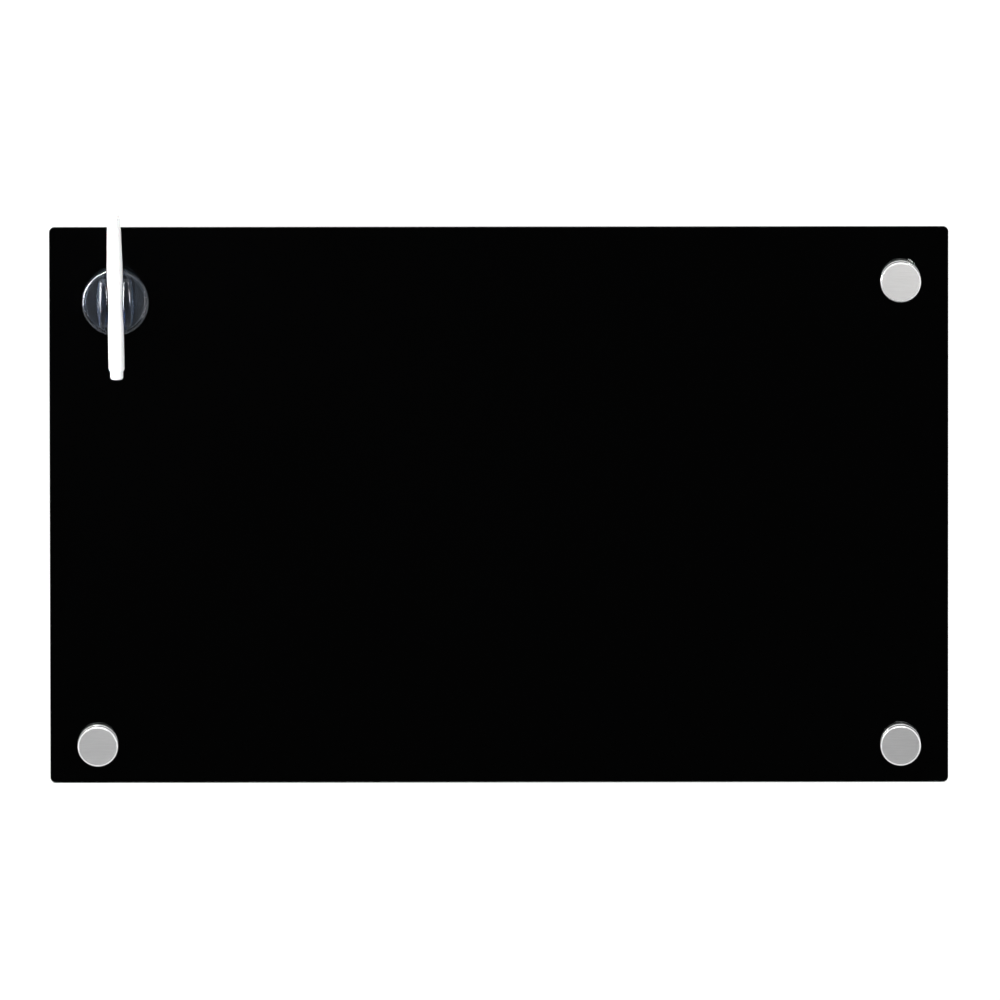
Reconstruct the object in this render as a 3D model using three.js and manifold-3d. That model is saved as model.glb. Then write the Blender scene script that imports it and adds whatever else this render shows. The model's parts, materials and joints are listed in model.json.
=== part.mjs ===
// Frameless magnetic glass board on three stand-offs, with a clear magnetic clip that holds a marker.
// Lengths are in millimetres. The board is modelled lying on its back: x runs to the right, y up the wall
// and z out from the wall to the reader. It is stood up at the end, so that +Z is up and the front faces -Y.
// The origin is the centre of the board on the wall.

import * as THREE from 'three';
import { mergeVertices } from 'three/addons/utils/BufferGeometryUtils.js';
import Module from 'manifold-3d';

// Glass panel, film and steel sheet
const boardWidth = 800;
const boardHeight = 500;
const boardCornerRadius = 5;
const glassThickness = 4;
const glassHoleRadius = 7;
const edgeArris = 0.5;
const filmThickness = 0.4;
const steelThickness = 0.6;
const steelMargin = 8;
const steelCornerRadius = 6;
const steelHoleClearance = 4;

// Where the stand-offs go through the glass
const sideInset = 42.5;
const topInset = 48;
const bottomInset = 35;

// Stand-off: cap
const capRadius = 18;
const capHeight = 14;
const capRimChamfer = 1.6;
const capBaseRing = 5.2;
const capBaseChamfer = 0.5;
const capGrooveWidth = 2.4;
const capGrooveDepth = 1.4;
const capThreadDepth = 7.6;

// Stand-off: stud, bush, gasket and washer
const studRadius = 5;
const studChamfer = 0.8;
const studInCap = 7;
const studInBarrel = 7;
const threadClearance = 0.15;
const sleeveClearance = 0.3;
const bushClearance = 0.4;
const bushEndGap = 0.1;
const gasketThickness = 0.8;
const gasketInset = 1.5;
const rearWasherThickness = 1;
const rearWasherInset = 1;

// Stand-off: barrel, wall screw and wall plug
const barrelRadius = 13;
const barrelLength = 16;
const barrelChamfer = 0.8;
const barrelWeb = 3;
const barrelGripGroove = 0.6;
const barrelGripWidth = 2;
const barrelReliefDepth = 0.6;
const barrelReliefClearance = 0.6;
const screwRadius = 2.25;
const screwHeadRadius = 4.2;
const screwHeadHeight = 3;
const screwHeadRounding = 0.9;
const screwLength = 45;
const screwTipLength = 5;
const screwHoleClearance = 0.3;
const screwSocketWidth = 1.1;
const screwSocketReach = 2.4;
const screwSocketDepth = 1.6;
const plugRadius = 4;
const plugLength = 38;
const plugWallGap = 0.3;
const plugTaperLength = 3;
const plugTaper = 0.7;
const plugSlotWidth = 1.2;
const plugSlotLength = 24;

// Bumper behind the fourth corner
const bumperRadius = 11;
const bumperFootRadius = 9;
const bumperRounding = 1;
const bumperPadThickness = 1;
const bumperPadInset = 0.5;

// Magnet and its grip pad
const holderFromLeft = 59;
const holderFromTop = 66;
const holderLeanDegrees = 1;
const runningGap = 0.3;
const gripPadThickness = 0.5;
const glueLine = 0.1;
const magnetRadius = 6.75;
const magnetThickness = 2;
const magnetChamfer = 0.3;
const gripPadInset = 0.35;
const pocketClearance = 0.3;

// Clear clip
const clipRadius = 29.7;
const clipRimHeight = 13.2;
const clipRimChamfer = 1.6;
const clipRimWidth = 2.4;
const clipFaceSink = 1.2;
const clipWall = 2.2;
const clipFaceWall = 2.4;
const clipTroughWall = 2;
const jawOffset = 10.2;
const jawHalfWidth = 6.5;
const jawHalfLength = 22.2;
const jawRise = 5.4;
const jawBelowAxis = 0.2;
const jawEndLength = 5;
const jawFlankShare = 0.72;
const jawFullnessShare = 0.7;

// Marker
const markerRadius = 7.1;
const markerLength = 149;
const markerBelowHolder = 69;
const markerAxisHeight = 11.5;
const markerClearance = 0.3;
const markerWall = 1.4;
const markerSeatGap = 0.3;
const endPlugRadius = 5.8;
const endPlugLength = 6.6;
const endPlugRounding = 2.2;
const endPlugSpigot = 6;
const endPlugCollar = 0.6;
const barrelEndChamfer = 2.6;
const capLength = 50;
const capTipRadius = 5.95;
const capWall = 0.75;
const capPlugRadius = 5;
const capPlugHeight = 5;
const capPlugRounding = 0.8;
const capPlugCollar = 0.5;
const capPlugSpigot = 20;
const capPlugSpigotWall = 1;
const neckLength = 10;
const neckRadius = 5.4;
const neckWall = 1.2;
const nibRadius = 2.25;
const nibTipLength = 3.5;
const nibTipRadius = 1.1;
const nibPointShare = 0.16;
const nibReach = 20;
const nibOverlap = 4;
const nibClearance = 0.2;
const nibHolderFlange = 1.2;
const nibHolderLength = 13;
const nibHolderTipWall = 0.8;
const nibHolderGap = 0.2;
const reservoirRadius = 5.2;
const reservoirEndGap = 0.3;

// Facets
const capFacets = 40;
const ringFacets = 24;
const smallFacets = 16;
const markerFacets = 32;
const clipFacets = 56;
const channelFacets = 36;
const jawFacets = 20;
const jawFlankFacets = 4;
const jawEndFacets = 3;
const cornerFacets = 4;
const roundingFacets = 4;
const cutOverrun = 2;

// Heights above the wall, worked out through the stack
const rearWasherBack = barrelLength;
const filmBack = rearWasherBack + rearWasherThickness;
const glassBack = filmBack + filmThickness;
const glassFront = glassBack + glassThickness;
const capBack = glassFront + gasketThickness;
const capFront = capBack + capHeight;
const steelBack = filmBack - steelThickness;

const metal = (color, roughness) => new THREE.MeshStandardMaterial({ color, roughness, metalness: 1 });
const plastic = (color, roughness) => new THREE.MeshStandardMaterial({ color, roughness, metalness: 0 });
const clear = (color, roughness, opacity) => new THREE.MeshStandardMaterial({
  color,
  roughness,
  metalness: 0,
  transparent: true,
  opacity,
});

const finishes = {
  glass: () => clear(0xcfe9e2, 0.02, 0.35),
  blackFilm: () => plastic(0x020202, 0.2),
  steelSheet: () => metal(0xb4b8ba, 0.45),
  aluminium: () => metal(0xc9c8c6, 0.35),
  fastener: () => metal(0xa7a9ab, 0.3),
  softClear: () => clear(0xd8dcdc, 0.5, 0.7),
  nylon: () => plastic(0x8d9094, 0.55),
  rubber: () => plastic(0x17181a, 0.8),
  magnet: () => metal(0xb9babc, 0.15),
  clearPlastic: () => clear(0xc4ccd6, 0.06, 0.35),
  whitePlastic: () => plastic(0xf7f7f7, 0.22),
  fibre: () => plastic(0x23242a, 0.9),
};

const wasm = await Module();
wasm.setup();

// Turns a profile of [radius, height] pairs about z. It starts and ends on the axis, or closes on itself.
function turned(profile, facets) {
  const points = profile.map(([radius, height]) => new THREE.Vector2(radius, height));
  const geometry = new THREE.LatheGeometry(points, facets);
  geometry.rotateX(Math.PI / 2);
  return geometry;
}

// The same about y, for the marker, whose axis lies up the board.
function turnedUpright(profile, facets) {
  const points = profile.map(([radius, height]) => new THREE.Vector2(radius, height));
  return new THREE.LatheGeometry(points, facets);
}

function ringProfile(inner, outer, low, high) {
  return [[inner, low], [outer, low], [outer, high], [inner, high], [inner, low]];
}

// A closed solid for cutting and joining, from any closed geometry.
function solidOf(geometry) {
  const bare = geometry.clone();
  bare.deleteAttribute('normal');
  bare.deleteAttribute('uv');
  const merged = mergeVertices(bare);
  const corners = merged.index.array;
  const kept = [];
  for (let i = 0; i < corners.length; i += 3) {
    const [a, b, c] = [corners[i], corners[i + 1], corners[i + 2]];
    if (a !== b && b !== c && c !== a) {
      kept.push(a, b, c);
    }
  }
  const vertProperties = new Float32Array(merged.attributes.position.array);
  return new wasm.Manifold(new wasm.Mesh({ numProp: 3, vertProperties, triVerts: new Uint32Array(kept) }));
}

function geometryOf(solid) {
  const mesh = solid.getMesh();
  const geometry = new THREE.BufferGeometry();
  geometry.setAttribute('position', new THREE.BufferAttribute(new Float32Array(mesh.vertProperties), 3));
  geometry.setIndex(new THREE.BufferAttribute(new Uint32Array(mesh.triVerts), 1));
  geometry.computeVertexNormals();
  return geometry;
}

function box(width, height, depth, x, y, z) {
  const geometry = new THREE.BoxGeometry(width, height, depth);
  geometry.translate(x, y, z);
  return geometry;
}

function addPiece(group, name, geometry, finish) {
  const mesh = new THREE.Mesh(geometry, finish());
  mesh.name = name;
  group.add(mesh);
  return mesh;
}

function roundedRectangle(width, height, radius) {
  const x = width / 2 - radius;
  const y = height / 2 - radius;
  const shape = new THREE.Shape();
  shape.absarc(x, -y, radius, -Math.PI / 2, 0);
  shape.absarc(x, y, radius, 0, Math.PI / 2);
  shape.absarc(-x, y, radius, Math.PI / 2, Math.PI);
  shape.absarc(-x, -y, radius, Math.PI, 3 * Math.PI / 2);
  shape.closePath();
  return shape;
}

function withHoles(shape, places, radius) {
  for (const place of places) {
    const hole = new THREE.Path();
    hole.absarc(place.x, place.y, radius, 0, Math.PI);
    hole.absarc(place.x, place.y, radius, Math.PI, 2 * Math.PI);
    shape.holes.push(hole);
  }
  return shape;
}

// Stand-offs go through the glass at three corners. The fourth corner has a bumper behind the glass.
const sideX = boardWidth / 2 - sideInset;
const topY = boardHeight / 2 - topInset;
const bottomY = -boardHeight / 2 + bottomInset;
const standoffPlaces = [
  { name: 'top_right', x: sideX, y: topY },
  { name: 'bottom_right', x: sideX, y: bottomY },
  { name: 'bottom_left', x: -sideX, y: bottomY },
];
const bumperPlace = { x: -sideX, y: topY };

function glassPanel() {
  const shape = withHoles(
    roundedRectangle(boardWidth, boardHeight, boardCornerRadius),
    standoffPlaces,
    glassHoleRadius,
  );
  const geometry = new THREE.ExtrudeGeometry(shape, {
    depth: glassThickness - 2 * edgeArris,
    bevelEnabled: true,
    bevelThickness: edgeArris,
    bevelSize: edgeArris,
    bevelOffset: -edgeArris,
    bevelSegments: 1,
    curveSegments: cornerFacets,
  });
  geometry.translate(0, 0, glassBack + edgeArris);
  return geometry;
}

function flatPlate(shape, thickness, back) {
  const geometry = new THREE.ExtrudeGeometry(shape, {
    depth: thickness,
    bevelEnabled: false,
    curveSegments: cornerFacets,
  });
  geometry.translate(0, 0, back);
  return geometry;
}

function blackBackFilm() {
  const shape = roundedRectangle(
    boardWidth - 2 * edgeArris,
    boardHeight - 2 * edgeArris,
    boardCornerRadius - edgeArris,
  );
  return flatPlate(withHoles(shape, standoffPlaces, glassHoleRadius), filmThickness, filmBack);
}

function steelSheet() {
  const shape = roundedRectangle(
    boardWidth - 2 * steelMargin,
    boardHeight - 2 * steelMargin,
    steelCornerRadius,
  );
  const places = [...standoffPlaces, bumperPlace];
  const holeRadius = barrelRadius + steelHoleClearance;
  return flatPlate(withHoles(shape, places, holeRadius), steelThickness, steelBack);
}

// Turned aluminium cap: a base ring, a groove, and a head with a bright chamfered rim. Its thread is blind.
function standoffCap() {
  const threadRadius = studRadius + threadClearance;
  const grooveBack = capBack + capBaseRing;
  const grooveFront = grooveBack + capGrooveWidth;
  const profile = [
    [0, capBack + capThreadDepth],
    [threadRadius, capBack + capThreadDepth],
    [threadRadius, capBack],
    [capRadius - capBaseChamfer, capBack],
    [capRadius, capBack + capBaseChamfer],
    [capRadius, grooveBack],
    [capRadius - capGrooveDepth, grooveBack],
    [capRadius - capGrooveDepth, grooveFront],
    [capRadius, grooveFront],
    [capRadius, capFront - capRimChamfer],
    [capRadius - capRimChamfer, capFront],
    [0, capFront],
  ];
  return turned(profile, capFacets);
}

function standoffStud() {
  const back = barrelLength - studInBarrel;
  const front = capBack + studInCap;
  const profile = [
    [0, back],
    [studRadius - studChamfer, back],
    [studRadius, back + studChamfer],
    [studRadius, front - studChamfer],
    [studRadius - studChamfer, front],
    [0, front],
  ];
  return turned(profile, ringFacets);
}

function standoffGasket() {
  const inner = studRadius + sleeveClearance;
  return turned(ringProfile(inner, capRadius - gasketInset, glassFront, capBack), capFacets);
}

function standoffBush() {
  const inner = studRadius + sleeveClearance;
  const outer = glassHoleRadius - bushClearance;
  return turned(ringProfile(inner, outer, filmBack + bushEndGap, glassFront - bushEndGap), ringFacets);
}

function standoffRearWasher() {
  const inner = studRadius + sleeveClearance;
  return turned(ringProfile(inner, barrelRadius - rearWasherInset, rearWasherBack, filmBack), ringFacets);
}

// Turned barrel, closed at the wall by a web with the screw's hole, threaded inside for the stud. Its foot is
// relieved round the plug, so that it stands on its rim.
function standoffBarrel() {
  const threadRadius = studRadius + threadClearance;
  const holeRadius = screwRadius + screwHoleClearance;
  const reliefRadius = plugRadius + barrelReliefClearance;
  const gripBack = barrelLength / 2 - barrelGripWidth / 2;
  const gripFront = barrelLength / 2 + barrelGripWidth / 2;
  const profile = [
    [holeRadius, barrelReliefDepth],
    [reliefRadius, barrelReliefDepth],
    [reliefRadius, 0],
    [barrelRadius - barrelChamfer, 0],
    [barrelRadius, barrelChamfer],
    [barrelRadius, gripBack],
    [barrelRadius - barrelGripGroove, gripBack + barrelGripGroove],
    [barrelRadius - barrelGripGroove, gripFront - barrelGripGroove],
    [barrelRadius, gripFront],
    [barrelRadius, barrelLength - barrelChamfer],
    [barrelRadius - barrelChamfer, barrelLength],
    [threadRadius, barrelLength],
    [threadRadius, barrelWeb],
    [holeRadius, barrelWeb],
    [holeRadius, barrelReliefDepth],
  ];
  return turned(profile, ringFacets);
}

// Pan head screw with a cross recess. The head sits on the web inside the barrel.
function wallScrew() {
  const headBack = barrelWeb;
  const headFront = headBack + screwHeadHeight;
  const tip = barrelWeb - screwLength;
  const profile = [
    [0, tip],
    [screwRadius, tip + screwTipLength],
    [screwRadius, headBack],
    [screwHeadRadius, headBack],
    [screwHeadRadius, headFront - screwHeadRounding],
    [screwHeadRadius - screwHeadRounding, headFront],
    [0, headFront],
  ];
  const socketDepth = screwSocketDepth + cutOverrun;
  const socketZ = headFront - screwSocketDepth + socketDepth / 2;
  const arm = 2 * screwSocketReach;
  return geometryOf(
    solidOf(turned(profile, smallFacets))
      .subtract(solidOf(box(arm, screwSocketWidth, socketDepth, 0, 0, socketZ)))
      .subtract(solidOf(box(screwSocketWidth, arm, socketDepth, 0, 0, socketZ))),
  );
}

// Split nylon plug. The slot runs from the far end, so that the plug spreads as the screw goes in.
function wallPlug() {
  const front = -plugWallGap;
  const back = front - plugLength;
  const bore = screwRadius + screwHoleClearance;
  const profile = [
    [bore, back],
    [plugRadius - plugTaper, back],
    [plugRadius, back + plugTaperLength],
    [plugRadius, front],
    [bore, front],
    [bore, back],
  ];
  const slotLength = plugSlotLength + cutOverrun;
  const slotZ = back - cutOverrun + slotLength / 2;
  const slotReach = 2 * (plugRadius + cutOverrun);
  return geometryOf(
    solidOf(turned(profile, smallFacets))
      .subtract(solidOf(box(plugSlotWidth, slotReach / 2, slotLength, 0, slotReach / 4, slotZ))),
  );
}

function addStandoff(board, place) {
  const standoff = new THREE.Group();
  standoff.position.set(place.x, place.y, 0);
  addPiece(standoff, `${place.name}_cap`, standoffCap(), finishes.aluminium);
  addPiece(standoff, `${place.name}_gasket`, standoffGasket(), finishes.softClear);
  addPiece(standoff, `${place.name}_bush`, standoffBush(), finishes.softClear);
  addPiece(standoff, `${place.name}_stud`, standoffStud(), finishes.fastener);
  addPiece(standoff, `${place.name}_rear_washer`, standoffRearWasher(), finishes.softClear);
  addPiece(standoff, `${place.name}_barrel`, standoffBarrel(), finishes.aluminium);
  addPiece(standoff, `${place.name}_wall_screw`, wallScrew(), finishes.fastener);
  addPiece(standoff, `${place.name}_wall_plug`, wallPlug(), finishes.nylon);
  board.add(standoff);
}

// Moulded rubber spacer, stuck behind the corner that has no cap. It stands on the wall.
function addCornerBumper(board) {
  const bumper = new THREE.Group();
  bumper.position.set(bumperPlace.x, bumperPlace.y, 0);
  const front = filmBack - bumperPadThickness;
  const profile = [
    [0, 0],
    [bumperFootRadius - bumperRounding, 0],
    [bumperFootRadius, bumperRounding],
    [bumperRadius, front - bumperRounding],
    [bumperRadius - bumperRounding, front],
    [0, front],
  ];
  const padRadius = bumperRadius - bumperRounding - bumperPadInset;
  const pad = [[0, front], [padRadius, front], [padRadius, filmBack], [0, filmBack]];
  addPiece(bumper, 'corner_bumper', turned(profile, ringFacets), finishes.rubber);
  addPiece(bumper, 'corner_bumper_pad', turned(pad, ringFacets), finishes.rubber);
  board.add(bumper);
}

// Heights in the holder are above the glass.
const gripPadFront = runningGap + gripPadThickness;
const magnetBack = gripPadFront + glueLine;
const magnetFront = magnetBack + magnetThickness;
const channelRadius = markerRadius + markerClearance;

function gripPad() {
  const radius = magnetRadius - gripPadInset;
  return turned([[0, runningGap], [radius, runningGap], [radius, gripPadFront], [0, gripPadFront]], ringFacets);
}

function magnetDisc() {
  const profile = [
    [0, magnetBack],
    [magnetRadius - magnetChamfer, magnetBack],
    [magnetRadius, magnetBack + magnetChamfer],
    [magnetRadius, magnetFront - magnetChamfer],
    [magnetRadius - magnetChamfer, magnetFront],
    [0, magnetFront],
  ];
  return turned(profile, ringFacets);
}

// A rod along y at the marker's height, for the channel and the wall around it.
function rodAcross(radius, length) {
  const geometry = new THREE.CylinderGeometry(radius, radius, length, channelFacets);
  geometry.translate(0, 0, markerAxisHeight);
  return solidOf(geometry);
}

// One jaw, widest in the middle, where it holds the marker. Its flanks bow in to a share of that width, and its
// ends are rounded. It is turned about its own long axis at a width of one, then scaled to its width and rise.
function jaw(side, floor) {
  const flankEnd = jawHalfLength - jawEndLength;
  const bowed = (share) => Math.sqrt(1 - (1 - jawFlankShare ** 2) * share ** 2);
  const upper = [];
  for (let i = 0; i <= jawFlankFacets; i += 1) {
    const share = i / jawFlankFacets;
    upper.push([bowed(share), share * flankEnd]);
  }
  for (let i = 1; i < jawEndFacets; i += 1) {
    const angle = (i / jawEndFacets) * Math.PI / 2;
    upper.push([jawFlankShare * Math.cos(angle) ** jawFullnessShare, flankEnd + jawEndLength * Math.sin(angle)]);
  }
  upper.push([0, jawHalfLength]);
  const lower = upper.slice(1).reverse().map(([share, height]) => [share, -height]);
  const geometry = turnedUpright([...lower, ...upper], jawFacets);
  geometry.scale(jawHalfWidth, 1, jawRise);
  geometry.translate(side * jawOffset, 0, markerAxisHeight - jawBelowAxis);
  const below = box(2 * clipRadius, 2 * clipRadius, floor, 0, 0, floor / 2);
  return solidOf(geometry).subtract(solidOf(below));
}

// Clear moulded clip: a shallow cup, open at the back, crossed by the trough that the marker lies in, with a
// boss for the magnet under the trough and two jaws that close a little over the marker.
function holderClip() {
  const faceFront = clipRimHeight - clipFaceSink;
  const faceBack = faceFront - clipFaceWall;
  const pocketFront = magnetFront + pocketClearance;
  const pocketRadius = magnetRadius + pocketClearance;
  const outside = solidOf(turned([
    [0, runningGap],
    [clipRadius, runningGap],
    [clipRadius, clipRimHeight - clipRimChamfer],
    [clipRadius - clipRimChamfer, clipRimHeight],
    [clipRadius - clipRimWidth, clipRimHeight],
    [clipRadius - clipRimWidth - clipFaceSink, faceFront],
    [0, faceFront],
  ], clipFacets));
  const hollow = solidOf(turned([
    [0, -cutOverrun],
    [clipRadius - clipWall, -cutOverrun],
    [clipRadius - clipWall, faceBack],
    [0, faceBack],
  ], clipFacets));
  const boss = solidOf(turned([
    [0, runningGap],
    [pocketRadius + clipTroughWall, runningGap],
    [pocketRadius + clipTroughWall, markerAxisHeight],
    [0, markerAxisHeight],
  ], channelFacets));
  const pocket = solidOf(turned([
    [0, -cutOverrun],
    [pocketRadius, -cutOverrun],
    [pocketRadius, pocketFront],
    [0, pocketFront],
  ], channelFacets));
  const trough = rodAcross(channelRadius + clipTroughWall, 2 * clipRadius).intersect(outside);
  return geometryOf(
    outside
      .subtract(hollow)
      .add(trough)
      .add(boss)
      .add(jaw(-1, faceBack))
      .add(jaw(1, faceBack))
      .subtract(rodAcross(channelRadius, 2 * (clipRadius + cutOverrun)))
      .subtract(pocket),
  );
}

// Heights along the marker are from its lower end.
const barrelEnd = endPlugLength + markerSeatGap;
const capMouth = markerLength - capLength;
const shoulder = capMouth - markerSeatGap;
const capTop = markerLength - capPlugHeight - markerSeatGap;
const neckEnd = shoulder + neckLength;
const markerBore = markerRadius - markerWall;
const neckBore = neckRadius - neckWall;
const boreFront = shoulder - markerWall;
const nibTip = neckEnd + nibReach;
const nibBack = boreFront - nibOverlap;

function markerBarrel() {
  return turnedUpright([
    [markerBore, barrelEnd],
    [endPlugRadius, barrelEnd],
    [markerRadius, barrelEnd + barrelEndChamfer],
    [markerRadius, shoulder],
    [neckRadius, shoulder],
    [neckRadius, neckEnd],
    [neckBore, neckEnd],
    [neckBore, boreFront],
    [markerBore, boreFront],
    [markerBore, barrelEnd],
  ], markerFacets);
}

// A quarter round from the axis side out to the wall, for a rounded end at height zero.
function roundedFoot(radius, rounding) {
  const points = [[0, 0]];
  for (let i = 0; i <= roundingFacets; i += 1) {
    const angle = (i / roundingFacets) * Math.PI / 2;
    points.push([radius - rounding + rounding * Math.sin(angle), rounding - rounding * Math.cos(angle)]);
  }
  return points;
}

function markerEndPlug() {
  const spigotRadius = markerBore - markerSeatGap;
  const spigotEnd = barrelEnd + endPlugSpigot;
  return turnedUpright([
    ...roundedFoot(endPlugRadius, endPlugRounding),
    [endPlugRadius, endPlugLength],
    [spigotRadius, endPlugLength],
    [spigotRadius, spigotEnd - endPlugCollar],
    [spigotRadius - endPlugCollar, spigotEnd],
    [0, spigotEnd],
  ], markerFacets);
}

function markerReservoir() {
  const low = barrelEnd + endPlugSpigot + reservoirEndGap;
  const high = nibBack - reservoirEndGap;
  return turnedUpright([
    [0, low],
    [reservoirRadius, low],
    [reservoirRadius, high],
    [0, high],
  ], ringFacets);
}

// Holder for the nib: a shank in the neck's bore, a flange on the neck's end and a cone to the nib.
function markerNibHolder() {
  const bore = nibRadius + nibClearance;
  const shank = neckBore - nibHolderGap;
  const flangeBack = neckEnd + markerSeatGap;
  const flangeFront = flangeBack + nibHolderFlange;
  return turnedUpright([
    [bore, boreFront],
    [shank, boreFront],
    [shank, flangeBack],
    [neckRadius - nibHolderGap, flangeBack],
    [neckRadius - nibHolderGap, flangeFront],
    [shank, flangeFront],
    [bore + nibHolderTipWall, flangeFront + nibHolderLength],
    [bore, flangeFront + nibHolderLength],
    [bore, boreFront],
  ], ringFacets);
}

function markerNib() {
  return turnedUpright([
    [0, nibBack],
    [nibRadius, nibBack],
    [nibRadius, nibTip - nibTipLength],
    [nibTipRadius, nibTip - nibTipLength * nibPointShare],
    [0, nibTip],
  ], smallFacets);
}

function markerCap() {
  return turnedUpright([
    [markerRadius - capWall - markerSeatGap, capMouth],
    [markerRadius, capMouth],
    [capTipRadius, capTop],
    [capTipRadius - 2 * capWall, capTop],
    [markerRadius - capWall - markerSeatGap, capMouth],
  ], markerFacets);
}

// Top of the cap: a stepped plug whose hollow spigot closes over the nib.
function markerCapPlug() {
  const base = markerLength - capPlugHeight;
  const spigotRadius = capTipRadius - 2 * capWall - markerSeatGap;
  const spigotEnd = base - capPlugSpigot;
  const inside = spigotRadius - capPlugSpigotWall;
  return turnedUpright([
    [0, base],
    [inside, base],
    [inside, spigotEnd],
    [spigotRadius - capPlugCollar, spigotEnd],
    [spigotRadius, spigotEnd + capPlugCollar],
    [spigotRadius, base],
    [capPlugRadius, base],
    [capPlugRadius, markerLength - capPlugRounding],
    [capPlugRadius - capPlugRounding, markerLength],
    [0, markerLength],
  ], markerFacets);
}

function addMarker(holder) {
  const marker = new THREE.Group();
  marker.position.set(0, -markerBelowHolder, markerAxisHeight);
  addPiece(marker, 'marker_barrel', markerBarrel(), finishes.whitePlastic);
  addPiece(marker, 'marker_end_plug', markerEndPlug(), finishes.whitePlastic);
  addPiece(marker, 'marker_reservoir', markerReservoir(), finishes.fibre);
  addPiece(marker, 'marker_nib_holder', markerNibHolder(), finishes.whitePlastic);
  addPiece(marker, 'marker_nib', markerNib(), finishes.fibre);
  addPiece(marker, 'marker_cap', markerCap(), finishes.whitePlastic);
  addPiece(marker, 'marker_cap_plug', markerCapPlug(), finishes.whitePlastic);
  holder.add(marker);
}

function addHolder(board) {
  const holder = new THREE.Group();
  holder.position.set(-boardWidth / 2 + holderFromLeft, boardHeight / 2 - holderFromTop, glassFront);
  holder.rotation.z = THREE.MathUtils.degToRad(holderLeanDegrees);
  addPiece(holder, 'holder_clip', holderClip(), finishes.clearPlastic);
  addPiece(holder, 'holder_magnet', magnetDisc(), finishes.magnet);
  addPiece(holder, 'holder_grip_pad', gripPad(), finishes.rubber);
  addMarker(holder);
  board.add(holder);
}

const board = new THREE.Group();
board.name = 'magnetic_glass_board';
addPiece(board, 'glass_panel', glassPanel(), finishes.glass);
addPiece(board, 'black_back_film', blackBackFilm(), finishes.blackFilm);
addPiece(board, 'steel_sheet', steelSheet(), finishes.steelSheet);
for (const place of standoffPlaces) {
  addStandoff(board, place);
}
addCornerBumper(board);
addHolder(board);
board.rotation.x = Math.PI / 2;

export default board;
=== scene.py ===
import json
import math

import bpy
from mathutils import Matrix, Vector


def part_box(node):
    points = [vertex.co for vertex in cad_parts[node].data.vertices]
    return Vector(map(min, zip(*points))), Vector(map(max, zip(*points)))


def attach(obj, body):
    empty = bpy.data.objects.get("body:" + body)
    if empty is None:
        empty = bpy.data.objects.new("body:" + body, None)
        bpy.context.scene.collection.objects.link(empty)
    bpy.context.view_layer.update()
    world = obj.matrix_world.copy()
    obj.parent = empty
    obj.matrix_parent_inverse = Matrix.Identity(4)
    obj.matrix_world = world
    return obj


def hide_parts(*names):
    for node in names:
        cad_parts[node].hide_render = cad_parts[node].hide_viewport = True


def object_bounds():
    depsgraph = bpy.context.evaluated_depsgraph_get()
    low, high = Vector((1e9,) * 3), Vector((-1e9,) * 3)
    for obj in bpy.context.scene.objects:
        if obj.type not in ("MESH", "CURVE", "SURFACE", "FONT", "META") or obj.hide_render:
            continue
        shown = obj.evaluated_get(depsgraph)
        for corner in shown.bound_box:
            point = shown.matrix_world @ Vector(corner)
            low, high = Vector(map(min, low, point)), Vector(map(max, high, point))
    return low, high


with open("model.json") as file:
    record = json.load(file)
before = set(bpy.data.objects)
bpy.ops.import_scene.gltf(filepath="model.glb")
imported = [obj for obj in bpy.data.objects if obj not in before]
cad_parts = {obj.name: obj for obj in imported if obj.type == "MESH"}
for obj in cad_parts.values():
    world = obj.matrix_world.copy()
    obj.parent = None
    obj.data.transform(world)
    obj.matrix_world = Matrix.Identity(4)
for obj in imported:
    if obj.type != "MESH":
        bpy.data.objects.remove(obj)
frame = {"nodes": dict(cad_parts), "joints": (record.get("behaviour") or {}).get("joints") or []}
CAD_LOW, CAD_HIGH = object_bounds()

bl_info = {
    "name": "Magnetic glass board",
    "version": (1, 0, 0),
    "blender": (4, 5, 0),
    "location": "View3D > Sidebar > Glass board",
    "description": "Dresses the magnetic glass board: glass, stand-offs, clear clip and marker",
    "category": "Object",
}

MM = 0.001
UP = Vector((0, 0, 1))
OUTWARD = Vector((0, -1, 0))

STANDOFFS = ("top_right", "bottom_right", "bottom_left")
FIRST = STANDOFFS[0]
JOINTS = {joint["name"]: joint for joint in frame["joints"]}

# The holder is built upright round its own centre and leant afterwards, as its joints lie.
HOLDER_CENTRE = Vector(JOINTS["clip_turn"]["pos_m"])
MARKER_AXIS = Vector(JOINTS["marker_slide"]["axis"])
HOLDER_LEAN = Matrix.Rotation(math.atan2(MARKER_AXIS.x, MARKER_AXIS.z), 4, "Y")

# How near two points are one point, and how near a face lies in a surface
SAME_POINT = 0.001 * MM
SAME_SURFACE = 0.01 * MM

# For pieces that have no setting of their own: how much their edges are broken, and facets round them
SLIGHT_BREAK = 0.1 * MM
DISC_FACETS = 96
TOOL_FACETS = 128

# How far each way a drill reaches
DRILL_REACH = 20 * MM

# How much of a face's normal points to the front: on a flat front, on its rounded edge and on a chamfer
FLAT = 0.999
FACING = 0.95
SLANTING = 0.3

# The attribute that turning marks follow
FROM_AXIS = "from_axis"


# Kinds of setting; the sidebar takes each label from the setting's own name


def length(description, millimetres):
    return bpy.props.FloatProperty(
        description=description, default=millimetres * MM, min=0.0, unit="LENGTH", precision=5
    )


def count(description, number):
    return bpy.props.IntProperty(description=description, default=number, min=3)


def colour(description, red, green, blue):
    return bpy.props.FloatVectorProperty(
        description=description, default=(red, green, blue), min=0.0, max=1.0, subtype="COLOR"
    )


def angle(description, degrees):
    return bpy.props.FloatProperty(
        description=description, default=math.radians(degrees), subtype="ANGLE", unit="ROTATION"
    )


def amount(description, number, least=0.0):
    return bpy.props.FloatProperty(description=description, default=number, min=least)


# Measures of the frame


def middle(node):
    low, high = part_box(node)
    return (low + high) / 2


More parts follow.
